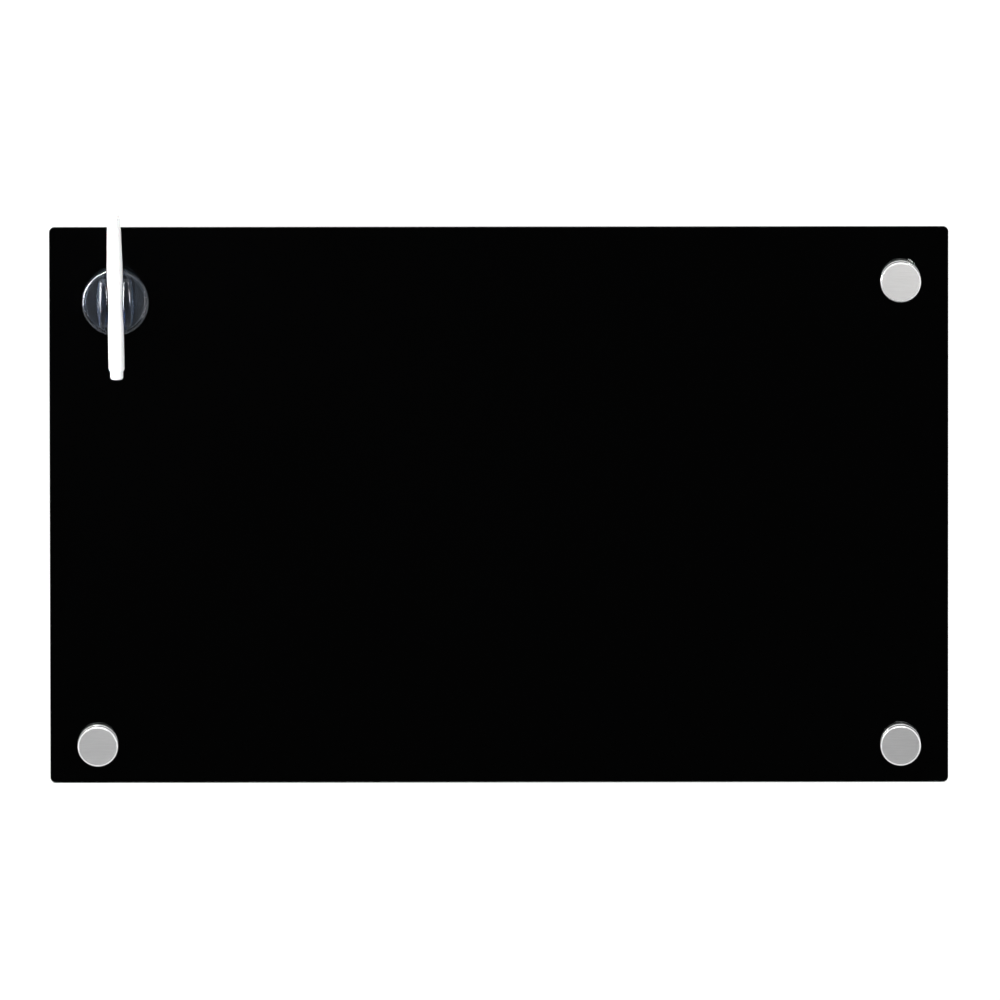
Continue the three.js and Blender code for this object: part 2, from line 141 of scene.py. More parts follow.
def reach(node, axis, origin=Vector()):
    """How far a CAD node reaches along an axis, back and forth from the origin."""
    places = [axis.dot(v.co - origin) for v in frame["nodes"][node].data.vertices]
    return min(places), max(places)


def radius_round(node, axis, origin):
    """How far a CAD node reaches out from an axis through the origin."""
    offsets = [v.co - origin for v in frame["nodes"][node].data.vertices]
    return max((offset - axis * axis.dot(offset)).length for offset in offsets)


def turned_node(node, axis=OUTWARD):
    """Where a turned CAD node starts, its length and its radius."""
    centre = middle(node)
    start, end = reach(node, axis, centre)
    return centre + axis * start, end - start, radius_round(node, axis, centre)


# Modelling by hand: one object at a time, its origin at the world's


def deselect_everything():
    if bpy.context.mode != "OBJECT":
        bpy.ops.object.mode_set(mode="OBJECT")
    bpy.ops.object.select_all(action="DESELECT")


def take_up(piece):
    """Makes a piece the only one selected."""
    deselect_everything()
    piece.select_set(True)
    bpy.context.view_layer.objects.active = piece


def name_piece(piece, name):
    piece.name = name
    piece.data.name = name
    return piece


def edit_all():
    """Opens the active piece for editing, with all of it selected."""
    bpy.ops.object.mode_set(mode="EDIT")
    bpy.ops.mesh.select_all(action="SELECT")


def tidy_faces(piece):
    """Merges doubled points and turns every face outwards."""
    take_up(piece)
    edit_all()
    bpy.ops.mesh.remove_doubles(threshold=SAME_POINT)
    bpy.ops.mesh.normals_make_consistent(inside=False)
    bpy.ops.object.mode_set(mode="OBJECT")


def apply_modifier(piece, kind, **settings):
    take_up(piece)
    modifier = piece.modifiers.new(kind.lower(), kind)
    for setting, value in settings.items():
        setattr(modifier, setting, value)
    bpy.ops.object.modifier_apply(modifier=modifier.name)


def settle():
    """Brings the active piece's origin back to the world's, and leaves its shape where it is."""
    bpy.ops.object.transform_apply(location=True, rotation=True, scale=True)
    return bpy.context.object


def place_by(piece, matrix):
    """Moves a piece by a matrix and leaves its origin at the world's."""
    take_up(piece)
    piece.matrix_world = matrix
    settle()


def lay_along(piece, axis, place):
    """Turns a piece that was built round world Z to an axis, and moves its foot to a place."""
    place_by(piece, Matrix.Translation(place) @ axis.to_track_quat("Z", "Y").to_matrix().to_4x4())


def draw_line(points):
    """Starts a piece at the first place and draws it on to the others; it is left open for editing."""
    deselect_everything()
    bpy.ops.mesh.primitive_plane_add(size=MM)
    edit_all()
    bpy.ops.mesh.merge(type="CENTER")
    bpy.ops.transform.translate(value=points[0])
    for start, end in zip(points, points[1:]):
        bpy.ops.mesh.extrude_vertices_move(TRANSFORM_OT_translate={"value": end - start})
    return bpy.context.object


def turned(name, profile, centre, axis, steps):
    """Draws a profile of (radius, height) points beside an axis and spins it round."""
    side = axis.orthogonal().normalized()
    piece = draw_line([centre + side * radius + axis * height for radius, height in profile])
    bpy.ops.mesh.select_all(action="SELECT")
    bpy.ops.mesh.spin(steps=steps, angle=math.tau, center=centre, axis=axis, use_auto_merge=True)
    tidy_faces(piece)
    return name_piece(piece, name)


def plain_disc(name, node, edge_break, segments=2):
    """A turned piece without a profile of its own, which fills its CAD node."""
    foot, height, radius = turned_node(node)
    disc = turned(name, [(0, 0), (radius, 0), (radius, height), (0, height)], foot, OUTWARD, DISC_FACETS)
    soften_edges(disc, edge_break, segments)
    return disc


def slab(name, low, high, corner_radius, corner_steps):
    """A flat plate that fills a box, with its corners rounded as seen from the front."""
    centre, size = (low + high) / 2, high - low
    deselect_everything()
    bpy.ops.mesh.primitive_plane_add(
        size=1, location=(centre.x, high.y, centre.z), rotation=(math.radians(90), 0, 0)
    )
    bpy.context.object.scale = (size.x, size.z, 1)
    piece = settle()
    edit_all()
    bpy.ops.mesh.bevel(offset=corner_radius, segments=corner_steps, affect="VERTICES")
    bpy.ops.mesh.select_all(action="SELECT")
    bpy.ops.mesh.extrude_region_move(TRANSFORM_OT_translate={"value": (0, -size.y, 0)})
    tidy_faces(piece)
    return name_piece(piece, name)


def rod(radius, centre, axis, reach_out):
    """A tool for combining: a round rod that runs both ways from its centre."""
    deselect_everything()
    bpy.ops.mesh.primitive_cylinder_add(
        vertices=TOOL_FACETS,
        radius=radius,
        depth=2 * reach_out,
        location=centre,
        rotation=axis.to_track_quat("Z", "Y").to_euler(),
    )
    return settle()


def block(size, centre):
    """A tool for combining: a plain box."""
    deselect_everything()
    bpy.ops.mesh.primitive_cube_add(size=1, location=centre)
    bpy.context.object.scale = size
    return settle()


def combine(piece, tool, operation):
    """Joins a piece with a tool, cuts it by the tool or keeps what both hold, and uses the tool up."""
    apply_modifier(piece, "BOOLEAN", object=tool, operation=operation, solver="MANIFOLD")
    bpy.data.objects.remove(tool)


def drill(piece, centres, radius):
    for centre in centres:
        combine(piece, rod(radius, centre, OUTWARD, DRILL_REACH), "DIFFERENCE")


def shade(piece, smooth_under=35):
    take_up(piece)
    bpy.ops.object.shade_smooth_by_angle(angle=math.radians(smooth_under))
    apply_modifier(piece, "WEIGHTED_NORMAL", keep_sharp=True, weight=100)


def soften_edges(piece, width, segments=2, over=30):
    """Breaks each edge sharper than an angle in degrees, and keeps the flats flat under smooth shading."""
    limit = math.radians(over)
    apply_modifier(piece, "BEVEL", width=width, segments=segments, limit_method="ANGLE", angle_limit=limit)
    shade(piece)


# Finishing a piece


def mark_distance(piece, centre, axis):
    """Gives each point its distance from an axis, which turning marks follow."""
    layer = piece.data.attributes.new(FROM_AXIS, "FLOAT", "POINT")
    for vertex, value in zip(piece.data.vertices, layer.data):
        offset = vertex.co - centre
        value.value = (offset - axis * axis.dot(offset)).length


def paint(piece, *materials):
    """Gives a piece these finishes and no others."""
    piece.data.materials.clear()
    for material in materials:
        piece.data.materials.append(material)


def coat(piece, finish_of, *materials):
    """Gives each face the finish that its place calls for."""
    paint(piece, *materials)
    for face in piece.data.polygons:
        face.material_index = finish_of(face)


def finish_piece(piece, body, node, material=None):
    """Seats a piece on its body in its node's place; a piece that was coated before keeps its finishes."""
    if material:
        paint(piece, material)
    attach(piece, body)
    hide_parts(node)


def set_out(first, look, node, material=None):
    """Copies a piece of the first stand-off to the others, and puts all of them in their nodes' places."""
    start = middle(f"{FIRST}_cap")
    for place in STANDOFFS:
        piece = first
        if place != FIRST:
            take_up(first)
            bpy.ops.object.duplicate(linked=False)
            bpy.ops.transform.translate(value=middle(f"{place}_cap") - start)
            piece = settle()
        name_piece(piece, f"{place}_{look}")
        finish_piece(piece, "board", f"{place}_{node}", material)


# Materials


SOCKETS = {
    "alpha": "Alpha",
    "clear": "Transmission Weight",
    "coat": "Coat Weight",
    "coat_roughness": "Coat Roughness",
    "colour": "Base Color",
    "ior": "IOR",
    "metal": "Metallic",
    "roughness": "Roughness",
    "sheen": "Sheen Weight",
    "specular": "Specular IOR Level",
    "subsurface": "Subsurface Weight",
    "subsurface_scale": "Subsurface Scale",
}


def toned(tone, share):
    return tuple(channel * share for channel in tone)


class Nodes:
    """A node tree, with the steps that add to it."""

    def __init__(self, tree):
        self.tree = tree

    def add(self, kind, **inputs):
        node = self.tree.nodes.new(kind)
        for socket, value in inputs.items():
            self.feed(node.inputs[socket.replace("_", " ")], value)
        return node

    def feed(self, socket, value):
        if isinstance(value, bpy.types.NodeSocket):
            self.tree.links.new(value, socket)
        else:
            socket.default_value = value

    def spread(self, source, low, high, start=0.3, end=0.7):
        """Spreads a pattern's middle range, or another that is given, from low to high."""
        node = self.add(
            "ShaderNodeMapRange", Value=source, From_Min=start, From_Max=end, To_Min=low, To_Max=high
        )
        return node.outputs["Result"]


class Finish(Nodes):
    """One node material, with the few steps that every finish here is made of."""

    def __init__(self, name, **settings):
        self.material = bpy.data.materials.new(name)
        self.material.use_nodes = True
        super().__init__(self.material.node_tree)
        self.shader = self.tree.nodes["Principled BSDF"]
        self.relief = None
        for key, value in settings.items():
            self.put(key, (*value, 1.0) if key == "colour" else value)

    def put(self, key, value):
        self.feed(self.shader.inputs[SOCKETS[key]], value)

    def place(self, stretch=(1, 1, 1)):
        """The place on the piece, stretched along its axes."""
        source = self.add("ShaderNodeTexCoord").outputs["Object"]
        return self.add("ShaderNodeMapping", Vector=source, Scale=stretch).outputs["Vector"]

    def noise(self, scale, detail=2.0, stretch=(1, 1, 1)):
        node = self.add("ShaderNodeTexNoise", Vector=self.place(stretch), Scale=scale, Detail=detail)
        return node.outputs["Fac"]

    def rings(self, scale, detail=3.0):
        """Turning marks: noise that changes with the distance from the axis alone."""
        source = self.add("ShaderNodeAttribute")
        source.attribute_name = FROM_AXIS
        node = self.add("ShaderNodeTexNoise", Scale=scale, Detail=detail)
        node.noise_dimensions = "1D"
        self.feed(node.inputs["W"], source.outputs["Fac"])
        return node.outputs["Fac"]

    def vary_colour(self, pattern, first, second):
        node = self.tree.nodes.new("ShaderNodeMix")
        node.data_type = "RGBA"
        self.feed(node.inputs[0], pattern)
        self.feed(node.inputs[6], (*first, 1.0))
        self.feed(node.inputs[7], (*second, 1.0))
        self.put("colour", node.outputs[2])

    def vary_roughness(self, pattern, smoothest, roughest):
        self.put("roughness", self.spread(pattern, smoothest, roughest))

    def bump(self, height, depth, strength):
        """Adds relief of a depth in metres over what is there already."""
        node = self.add("ShaderNodeBump", Height=height, Distance=depth, Strength=strength)
        if self.relief is not None:
            self.feed(node.inputs["Normal"], self.relief)
        self.relief = node.outputs["Normal"]
        self.feed(self.shader.inputs["Normal"], self.relief)

    def tint_inside(self, tint, density):
        """Colours a clear piece by the depth of it that light crosses."""
        inside = self.add("ShaderNodeVolumeAbsorption", Color=(*tint, 1.0), Density=density)
        self.feed(self.tree.nodes["Material Output"].inputs["Volume"], inside.outputs["Volume"])


# In the finishes below, noise takes its scale per metre, its detail and how it is stretched along each axis.


def panel_glass(name, settings, **looks):
    finish = Finish(name, ior=1.52, clear=1.0, **looks)
    finish.tint_inside(settings.tint, settings.tint_density)
    return finish.material


def polished_glass(settings):
    return panel_glass("polished_glass", settings, colour=(1, 1, 1), roughness=0.0, specular=0.85)


def ground_glass(settings):
    """The edge of the panel, which is ground and not polished."""
    return panel_glass(
        "ground_glass_edge", settings, colour=settings.edge_colour, roughness=0.6, specular=0.1
    )


def back_film(settings):
    finish = Finish("black_back_film", colour=settings.film_colour, specular=0.0)
    finish.vary_roughness(finish.noise(90), 0.38, 0.5)
    finish.bump(finish.noise(900, 3), 0.02 * MM, 0.6)
    return finish.material


def rolled_steel(settings):
    finish = Finish("rolled_steel_sheet", metal=1.0)
    grain = finish.noise(900, 3, (0.02, 1, 1))
    finish.vary_colour(finish.noise(14, 4), settings.steel_colour, settings.steel_shade)
    finish.vary_roughness(grain, 0.3, 0.5)
    finish.bump(grain, 0.01 * MM, 0.5)
    return finish.material


def satin_aluminium(name, tone, smoothest=0.36, roughest=0.48):
    """Turned and bead blasted: faint rings under a fine even grain."""
    finish = Finish(name, metal=1.0)
    grain = finish.noise(4200, 2)
    finish.vary_colour(finish.noise(60, 3), toned(tone, 0.93), tone)
    finish.vary_roughness(grain, smoothest, roughest)
    finish.bump(finish.rings(2600), 0.004 * MM, 0.5)
    finish.bump(grain, 0.004 * MM, 0.5)
    return finish.material


def brushed_face(tone):
    """The front of a cap: brushed from side to side, with a fine blasted grain over the strokes."""
    finish = Finish("brushed_face", metal=1.0)
    strokes = finish.noise(1400, 3, (0.05, 1, 1))
    grain = finish.noise(4200, 2)
    finish.vary_colour(finish.spread(strokes, 0.0, 1.0), toned(tone, 0.93), tone)
    finish.vary_roughness(grain, 0.5, 0.6)
    finish.bump(strokes, 0.005 * MM, 0.5)
    finish.bump(grain, 0.003 * MM, 0.4)
    return finish.material


def bright_cut(name, tone, smoothest, roughest):
    """Cut bright on the lathe and not blasted, with fine rings."""
    finish = Finish(name, metal=1.0)
    rings = finish.rings(2600)
    finish.vary_colour(rings, toned(tone, 0.96), tone)
    finish.vary_roughness(rings, smoothest, roughest)
    finish.bump(rings, 0.002 * MM, 0.4)
    return finish.material


def soft_clear():
    finish = Finish("soft_clear_ring", colour=(0.72, 0.76, 0.77), roughness=0.42, ior=1.41, clear=0.7)
    finish.bump(finish.noise(1500, 2), 0.01 * MM, 0.5)
    return finish.material


def zinc_plate(name, settings):
    finish = Finish(name, metal=1.0)
    cloud = finish.noise(500, 3)
    finish.vary_colour(cloud, settings.zinc_colour, settings.zinc_shade)
    finish.vary_roughness(cloud, 0.22, 0.38)
    finish.bump(finish.noise(3000, 2), 0.004 * MM, 0.6)
    return finish.material


def grey_nylon(settings):
    finish = Finish("grey_nylon", roughness=0.5, specular=0.4, subsurface=0.08, subsurface_scale=1.5 * MM)
    finish.vary_colour(finish.noise(250, 3), settings.nylon_colour, toned(settings.nylon_colour, 1.12))
    finish.bump(finish.noise(1800, 3), 0.02 * MM, 0.5)
    return finish.material


def black_rubber():
    finish = Finish("black_rubber", colour=(0.018, 0.018, 0.02), specular=0.35)
    finish.vary_roughness(finish.noise(400, 2), 0.62, 0.82)
    finish.bump(finish.noise(2200, 3), 0.03 * MM, 0.6)
    return finish.material


def clear_moulding(name, settings, roughness):
    """Clear plastic with the faint milkiness that such mouldings have."""
    clear = 1.0 - settings.milkiness
    finish = Finish(name, colour=settings.clear_colour, roughness=roughness, ior=1.49, clear=clear)
    finish.tint_inside(settings.clear_tint, settings.clear_tint_density)
    finish.bump(finish.noise(160, 1), 0.01 * MM, 0.4)
    return finish.material


def nickel_plate():
    finish = Finish("nickel_plate", metal=1.0, colour=(0.66, 0.65, 0.62))
    finish.vary_roughness(finish.noise(700, 4), 0.08, 0.2)
    finish.bump(finish.noise(2500, 2), 0.002 * MM, 0.5)
    return finish.material


def white_moulding(settings):
    """Glossy white plastic, with the slight ripple that moulding leaves."""
    finish = Finish(
        "white_moulding",
        colour=settings.white_colour,
        ior=1.5,
        coat=0.35,
        coat_roughness=0.06,
        subsurface=0.06,
        subsurface_scale=1.2 * MM,
    )
    finish.vary_roughness(finish.noise(300, 2), 0.2, 0.28)
    finish.bump(finish.noise(220, 1), 0.008 * MM, 0.5)
    return finish.material


def ink_felt(name):
    finish = Finish(name, roughness=0.9, specular=0.2, sheen=0.4)
    strands = finish.noise(3500, 3, (1, 1, 0.12))
    finish.vary_colour(strands, (0.008, 0.008, 0.01), (0.03, 0.03, 0.036))
    finish.bump(strands, 0.08 * MM, 0.8)
    return finish.material


# What a user would change


class GlassBoardPanel(bpy.types.PropertyGroup):
    corner_radius: length("Rounding of the board's corners", 5)
    corner_steps: count("Facets of a rounded corner", 16)
    arris: length("Width of the ground edge of the glass", 0.5)
    hole_radius: length("Radius of the drilled holes in the glass", 7)
    film_margin: length("How far the film stays inside the glass", 0.1)
    film_gap: length("Keeps the film's face from lying in that of the glass", 0.02)
    steel_corner_radius: length("Rounding of the steel sheet's corners", 6)
    steel_corner_steps: count("Facets of the steel sheet's corners", 12)
    steel_hole_clearance: length("Room round each barrel in the steel sheet", 4)
    tint: colour("What the glass lets through", 0.42, 0.86, 0.74)
    tint_density: amount("How fast the glass takes its tint, per metre", 22.0)
    edge_colour: colour("Colour of the ground edge", 0.2, 0.55, 0.47)
    film_colour: colour("Colour of the film behind the glass", 0.0005, 0.0005, 0.0006)
    steel_colour: colour("Colour of the steel sheet", 0.55, 0.56, 0.57)
    steel_shade: colour("Its darker clouds", 0.47, 0.48, 0.49)


class GlassBoardStandoff(bpy.types.PropertyGroup):
    facets: count("Facets round a turned piece", 128)
    rim_chamfer: length("Chamfer of the cap's bright rim", 1.4)
    base_ring: length("Height of the ring below the cap's groove", 5.2)
    base_chamfer: length("Chamfer at the glass", 0.5)
    groove_width: length("Width of the cap's groove", 2.4)
    groove_depth: length("Depth of the cap's groove", 1.4)
    ring_chamfer: length("Bright chamfer on the ring below the groove", 1.4)
    thread_depth: length("Depth of the cap's blind hole", 7.6)
    thread_clearance: length("Room round the stud", 0.15)
    sleeve_clearance: length("Room between the stud and a ring", 0.3)
    edge_break: length("Rounding of turned edges", 0.18)
    barrel_chamfer: length("Chamfer at both ends of the barrel", 0.8)
    barrel_web: length("Thickness of the barrel's closed end", 3)
    grip_width: length("Width of the barrel's groove", 2)
    grip_depth: length("Depth of the barrel's groove", 0.6)
    relief_depth: length("Depth of the relief in the barrel's foot", 0.6)
    relief_clearance: length("Room round the plug in the barrel's foot", 0.6)
    screw_hole: length("Radius of the hole in the barrel's web", 2.55)
    ring_gap: length("Keeps the soft rings' faces from lying in those they touch", 0.02)
    metal_colour: colour("Colour of the turned metal", 0.88, 0.88, 0.885)
    zinc_colour: colour("Colour of the plated steel", 0.58, 0.6, 0.63)
    zinc_shade: colour("Its yellower clouds", 0.62, 0.6, 0.52)


class GlassBoardFixing(bpy.types.PropertyGroup):
    facets: count("Facets round a screw or a plug", 48)
    shank_radius: length("Radius of the screw over its thread", 2.25)
    thread_pitch: length("Pitch of the screw's thread", 2.2)
    thread_depth: length("Depth of the screw's thread", 0.5)
    plain_shank: length("Part of the screw below the head without a thread", 3)
    head_rounding: length("Rounding of the screw's head", 0.3)
    head_height: length("Height of the screw's head", 3)
    socket_width: length("Width of the cross recess", 1.1)
    socket_reach: length("How far each arm of the recess reaches", 2.4)
    socket_depth: length("Depth of the recess", 1.6)
    tip_length: length("Length of the screw's point", 5)
    bore_clearance: length("Room round the screw", 0.3)
    rib_pitch: length("Distance between the plug's ribs", 3.2)
    rib_depth: length("Depth of the plug's ribs", 0.4)
    rib_crest: amount("Where a rib is highest, as a share of the pitch", 0.7)
    rib_foot: amount("Where it has dropped again, as a share of the pitch", 0.8)
    lip: length("Smooth part of the plug at the wall", 3)
    taper_length: length("Length of the plug's narrow end", 3)
    taper: length("How much the plug's end narrows", 0.7)
    slot_width: length("Width of the plug's slot", 1.2)
    slot_length: length("Length of the plug's slot", 24)
    nylon_colour: colour("Colour of the plugs", 0.27, 0.28, 0.3)
    bumper_rounding: length("Rounding of the rubber bumper", 1)
    bumper_foot: length("How much narrower the bumper is at the wall", 2)


class GlassBoardClip(bpy.types.PropertyGroup):
    facets: count("Facets round the disc", 192)
    rim_chamfer: length("Chamfer of the disc's bright rim", 1.6)
    rim_width: length("Width of the raised rim", 2.4)
    face_sink: length("How far the face lies below the rim", 1.2)
    rim_height: length("Height of the rim above the glass", 13.2)
    side_wall: length("Thickness of the side wall", 2.2)
    face_wall: length("Thickness of the face", 2.4)
    trough_wall: length("Thickness under the marker's trough", 2)
    edge_break: length("Rounding of the disc's edges", 0.3)
    jaw_offset: length("Distance of each jaw from the middle", 10.2)
    jaw_half_width: length("Half the width of a jaw", 6.5)
    jaw_half_length: length("Half the length of a jaw", 22.2)
    jaw_rise: length("Height of a jaw above its middle", 5.4)
    jaw_below_axis: length("How far a jaw's middle lies below the marker's axis", 0.2)
    jaw_flank_share: amount("Width that the jaw's flanks keep at their ends, as a share", 0.72)
    jaw_end: length("Length of the jaw's rounded end", 5)
    jaw_fullness: amount("Power that fills the jaw's rounded end: 1 is a plain ellipse", 0.7)
    jaw_steps: count("Steps along a jaw's flank and along its rounded end", 24)
    marker_clearance: length("Room round the marker", 0.3)
    magnet_clearance: length("Room round the magnet", 0.3)
    magnet_chamfer: length("Chamfer of the magnet", 0.3)
    clear_colour: colour("Colour of the clear moulding", 0.86, 0.93, 1.0)
    clear_tint: colour("What the moulding lets through", 0.66, 0.71, 0.78)
    clear_tint_density: amount("How fast the moulding takes its tint, per metre", 420.0)
    milkiness: amount("Share of light that the moulding scatters", 0.007)
    outer_roughness: amount("Roughness of the polished outside", 0.03)
    hollow_roughness: amount("Roughness of the matt hollow behind", 0.26)


class GlassBoardMarker(bpy.types.PropertyGroup):
    facets: count("Facets round the marker", 96)
    wall: length("Thickness of the barrel", 1.4)
    end_radius: length("Radius of the barrel's tapered end", 5.8)
    end_taper: length("Length of the barrel's tapered end", 2.6)
    collar: length("Chamfer of the end plug's spigot", 0.6)
    plug_rounding: length("Rounding of the end plug", 2.2)
    plug_steps: count("Facets of the end plug's rounding", 8)
    seat_gap: length("Gap round pieces that slide into each other", 0.3)
    seam: length("Hairline between pieces that butt", 0.05)
    cap_wall: length("Thickness of the cap", 0.75)
    cap_tip_radius: length("Radius of the cap at its narrow end", 5.95)
    cap_plug_radius: length("Radius of the cap's stepped top", 5)
    cap_plug_rounding: length("Rounding of the cap's top", 0.8)
    cap_collar: length("Chamfer of the cap plug's spigot", 0.5)
    cap_spigot_wall: length("Thickness of the sleeve over the nib", 1)
    edge_break: length("Rounding of the marker's edges", 0.12)
    neck_radius: length("Radius of the neck under the cap", 5.4)
    neck_wall: length("Thickness of the neck under the cap", 1.2)
    flange: length("Thickness of the nib holder's flange", 1.2)
    nib_wall: length("Thickness of the nib holder round the nib", 0.8)
    nib_clearance: length("Room round the nib and round its holder", 0.2)
    nib_tip_length: length("Length of the nib's tapered end", 3.5)
    nib_tip_radius: length("Radius of the nib where its point starts", 1.1)
    nib_point_share: amount("Share of the tapered end that is the point", 0.16)
    white_colour: colour("Colour of the marker", 0.84, 0.84, 0.84)


class GlassBoardStage(bpy.types.PropertyGroup):
    azimuth: angle("How far the camera stands to the right", 0.0)
    elevation: angle("How far the camera stands above", 8.5)
    roll: angle("How far the camera leans", -0.067)
    distance: length("From the camera to the board", 40000)
    view_width: length("What the picture spans at the board", 890.2)
    aim: bpy.props.FloatVectorProperty(
        description="Where the camera points, from the board's middle",
        default=(0.0009, 0.0, 0.0043),
        subtype="TRANSLATION",
        unit="LENGTH",
        precision=5,
    )
    dark_until: amount("How far round the surroundings are dark, from -1 in front to 1 behind", -0.5, -1.0)
    white_from: amount("From where on round they are white", -0.15, -1.0)
    darkest: amount("Brightness of the dark part", 0.01)
    whitest: amount("Brightness of the white part", 1.15)
    floor_drop: length("From the board's lower edge to the floor", 750)
    floor_radius: length("Radius of the floor", 3000)
    floor_solid: length("Radius at which the floor starts to fade", 1500)
    floor_colour: colour("Colour of the floor", 0.9, 0.9, 0.9)
    floor_roughness: amount("Roughness of the floor", 0.8)


GROUPS = {
    "glass_board_panel": GlassBoardPanel,
    "glass_board_standoff": GlassBoardStandoff,
    "glass_board_fixing": GlassBoardFixing,
    "glass_board_clip": GlassBoardClip,
    "glass_board_marker": GlassBoardMarker,
    "glass_board_stage": GlassBoardStage,
}


# Glass, film and steel


class GLASSBOARD_OT_panel(bpy.types.Operator):
    """Make the glass panel with its ground edge, the black film and the steel sheet behind it"""

    bl_idname = "glass_board.panel"
    bl_label = "Glass, film and steel"

    def execute(self, context):
        sizes = context.scene.glass_board_panel
        holes = [middle(f"{place}_cap") for place in STANDOFFS]
        glass_low, glass_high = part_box("glass_panel")
        glass = slab("glass_panel_polished", glass_low, glass_high, sizes.corner_radius, sizes.corner_steps)
        drill(glass, holes, sizes.hole_radius)
        soften_edges(glass, sizes.arris, segments=3, over=60)

        def finish_of(face):
            return 0 if abs(OUTWARD.dot(face.normal)) > FLAT else 1

        coat(glass, finish_of, polished_glass(sizes), ground_glass(sizes))
        finish_piece(glass, "board", "glass_panel")

        film_low, film_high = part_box("black_back_film")
        margin = Vector((1, 0, 1)) * sizes.film_margin
        low = Vector((glass_low.x, film_low.y, glass_low.z)) + margin - OUTWARD * sizes.film_gap
        high = Vector((glass_high.x, film_high.y, glass_high.z)) - margin
        film = slab("back_film", low, high, sizes.corner_radius, sizes.corner_steps)
        drill(film, holes, sizes.hole_radius)
        shade(film)
        finish_piece(film, "board", "black_back_film", back_film(sizes))

        low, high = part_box("steel_sheet")
        steel = slab("steel_back_sheet", low, high, sizes.steel_corner_radius, sizes.steel_corner_steps)
        barrel_radius = radius_round(f"{FIRST}_barrel", OUTWARD, holes[0])
        drill(steel, [*holes, middle("corner_bumper")], barrel_radius + sizes.steel_hole_clearance)
        soften_edges(steel, SLIGHT_BREAK, segments=1, over=60)
        finish_piece(steel, "board", "steel_sheet", rolled_steel(sizes))
        return {"FINISHED"}


# Stand-offs


class GLASSBOARD_OT_caps(bpy.types.Operator):
    """Make the front caps of the three stand-offs, with the soft rings and studs behind them"""

    bl_idname = "glass_board.caps"
    bl_label = "Caps and soft rings"

    def execute(self, context):
        sizes = context.scene.glass_board_standoff
        self.make_caps(sizes)
        soft = soft_clear()
        for kind in ("gasket", "rear_washer", "bush"):
            self.make_soft_ring(kind, sizes, soft)
        # The studs keep their CAD solids and only get a finish.
        zinc = zinc_plate("plated_stud", sizes)
        for place in STANDOFFS:
            paint(frame["nodes"][f"{place}_stud"], zinc)
        return {"FINISHED"}

    def make_caps(self, sizes):
        base, height, radius = turned_node(f"{FIRST}_cap")
        thread = radius_round(f"{FIRST}_stud", OUTWARD, base) + sizes.thread_clearance
        groove_back = sizes.base_ring
        groove_front = groove_back + sizes.groove_width
        groove_bottom = radius - sizes.groove_depth
        ring_edge = groove_back - sizes.ring_chamfer
        profile = [
            (0, sizes.thread_depth),
            (thread, sizes.thread_depth),
            (thread, 0),
            (radius - sizes.base_chamfer, 0),
            (radius, sizes.base_chamfer),
            (radius, ring_edge),
            (groove_bottom, groove_back),
            (groove_bottom, groove_front),
            (radius, groove_front),
            (radius, height - sizes.rim_chamfer),
            (radius - sizes.rim_chamfer, height),
            (0, height),
        ]
        cap = turned("cap", profile, base, OUTWARD, sizes.facets)
        soften_edges(cap, sizes.edge_break)
        mark_distance(cap, base, OUTWARD)

        def finish_of(face):
            place = OUTWARD.dot(face.center - base)
            slope = OUTWARD.dot(face.normal)
            if place > height - sizes.edge_break and slope > FACING:
                return 0
            if place < ring_edge:
                return 1
            return 2 if abs(slope) > SLANTING else 3

        tone = sizes.metal_colour
        coat(
            cap,
            finish_of,
            brushed_face(tone),
            satin_aluminium("blasted_ring", tone, smoothest=0.58, roughest=0.7),
            bright_cut("bright_chamfer", tone, smoothest=0.18, roughest=0.26),
            bright_cut("polished_side", tone, smoothest=0.05, roughest=0.09),
        )
        set_out(cap, "turned_cap", "cap")

    def make_soft_ring(self, kind, sizes, material):
        base, height, radius = turned_node(f"{FIRST}_{kind}")
        inner = radius_round(f"{FIRST}_stud", OUTWARD, base) + sizes.sleeve_clearance
        low, high = sizes.ring_gap, height - sizes.ring_gap
        corners = [(inner, low), (radius, low), (radius, high), (inner, high), (inner, low)]
        ring = turned(kind, corners, base, OUTWARD, sizes.facets)
        soften_edges(ring, sizes.edge_break / 2)
        set_out(ring, f"soft_{kind}", kind, material)


class GLASSBOARD_OT_barrels(bpy.types.Operator):
    """Make the turned barrels that stand on the wall"""

    bl_idname = "glass_board.barrels"
    bl_label = "Barrels"

    def execute(self, context):
        sizes = context.scene.glass_board_standoff
        foot, height, radius = turned_node(f"{FIRST}_barrel")
        thread = radius_round(f"{FIRST}_stud", OUTWARD, foot) + sizes.thread_clearance
        relief = radius_round(f"{FIRST}_wall_plug", OUTWARD, foot) + sizes.relief_clearance
        grip_back = height / 2 - sizes.grip_width / 2
        grip_front = height / 2 + sizes.grip_width / 2
        grip_bottom = radius - sizes.grip_depth
        profile = [
            (sizes.screw_hole, sizes.relief_depth),
            (relief, sizes.relief_depth),
            (relief, 0),
            (radius - sizes.barrel_chamfer, 0),
            (radius, sizes.barrel_chamfer),
            (radius, grip_back),
            (grip_bottom, grip_back + sizes.grip_depth),
            (grip_bottom, grip_front - sizes.grip_depth),
            (radius, grip_front),
            (radius, height - sizes.barrel_chamfer),
            (radius - sizes.barrel_chamfer, height),
            (thread, height),
            (thread, sizes.barrel_web),
            (sizes.screw_hole, sizes.barrel_web),
            (sizes.screw_hole, sizes.relief_depth),
        ]
        barrel = turned("barrel", profile, foot, OUTWARD, sizes.facets)
        soften_edges(barrel, sizes.edge_break)
        mark_distance(barrel, foot, OUTWARD)
        metal = satin_aluminium("satin_barrel", sizes.metal_colour)
        set_out(barrel, "turned_barrel", "barrel", metal)
        return {"FINISHED"}


# Screws, plugs and bumper


